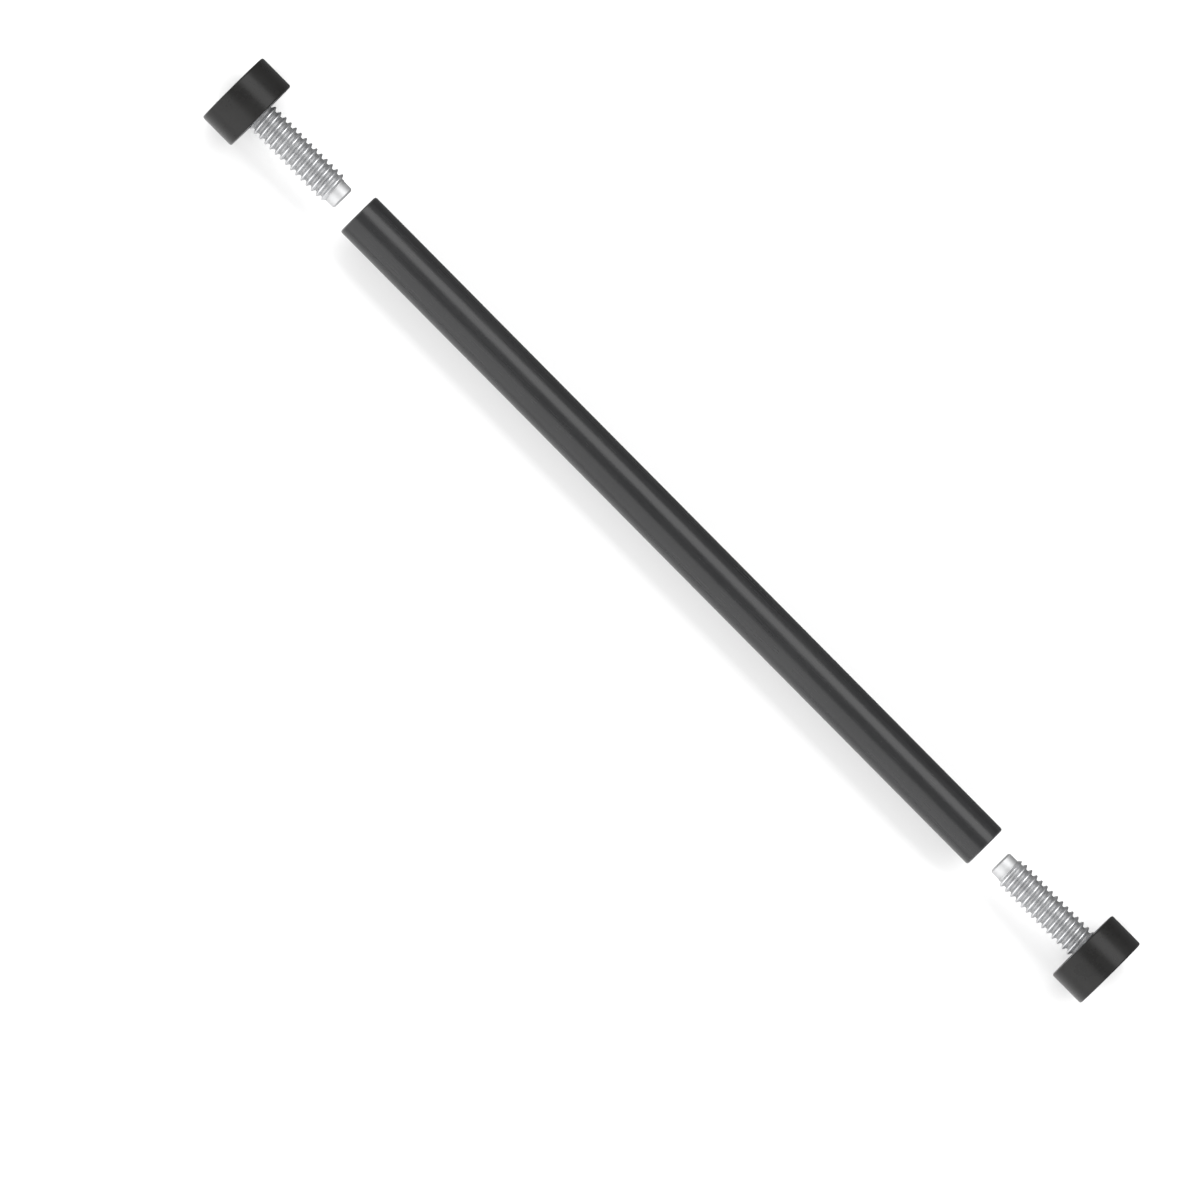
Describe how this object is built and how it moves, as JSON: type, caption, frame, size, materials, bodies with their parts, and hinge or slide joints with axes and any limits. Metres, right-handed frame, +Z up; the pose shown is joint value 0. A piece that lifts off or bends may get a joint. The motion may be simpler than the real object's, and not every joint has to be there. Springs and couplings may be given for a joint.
{
  "type": "bed cargo bar",
  "caption": "Round black bar wedged across a truck or trailer bed, with a coarse screw stud and a wide rubber foot at each end that screws in and out to fit the gap.",
  "frame": {"origin": "the middle of the tube, on its axis, which is also the middle of the whole bar", "axes": "+X along the bar towards the right-hand foot, +Z up, +Y away from a viewer at the tailgate"},
  "size_m": [1.2806, 0.087, 0.087],
  "materials": {
    "black_coat": "satin black powder coat on steel tube",
    "plug_steel": "turned steel, lightly oiled",
    "zinc_plate": "bright zinc plate on a cut thread",
    "foot_rubber": "matte moulded black rubber",
    "cup_steel": "turned and zinc plated steel",
    "washer_bronze": "plain bearing bronze",
    "spring_steel": "dark phosphated spring steel"
  },
  "bodies": {
    "bar": {"tube": "black_coat", "plug_left": "plug_steel", "plug_right": "plug_steel"},
    "foot_left": {"foot_left": "foot_rubber", "cup_left": "cup_steel", "washer_left": "washer_bronze", "ring_left": "spring_steel"},
    "stud_left": {"stud_left": "zinc_plate"},
    "foot_right": {"foot_right": "foot_rubber", "cup_right": "cup_steel", "washer_right": "washer_bronze", "ring_right": "spring_steel"},
    "stud_right": {"stud_right": "zinc_plate"}
  },
  "joints": [
    {"name": "foot_left_slide", "type": "slide", "parent": "bar", "child": "foot_left", "axis": [1, 0, 0], "range_m": [0, 0.141]},
    {"name": "stud_left_turn", "type": "hinge", "parent": "foot_left", "child": "stud_left", "pos_m": [-0.6188, 0, 0], "axis": [1, 0, 0], "range_deg": [0, 6768]},
    {"name": "foot_right_slide", "type": "slide", "parent": "bar", "child": "foot_right", "axis": [-1, 0, 0], "range_m": [0, 0.141]},
    {"name": "stud_right_turn", "type": "hinge", "parent": "foot_right", "child": "stud_right", "pos_m": [0.6188, 0, 0], "axis": [-1, 0, 0], "range_deg": [0, 6768]}
  ],
  "couplings": [
    {"joint": "stud_left_turn", "follows": "foot_left_slide", "rad_per_m": 837.76},
    {"joint": "stud_right_turn", "follows": "foot_right_slide", "rad_per_m": 837.76}
  ]
}
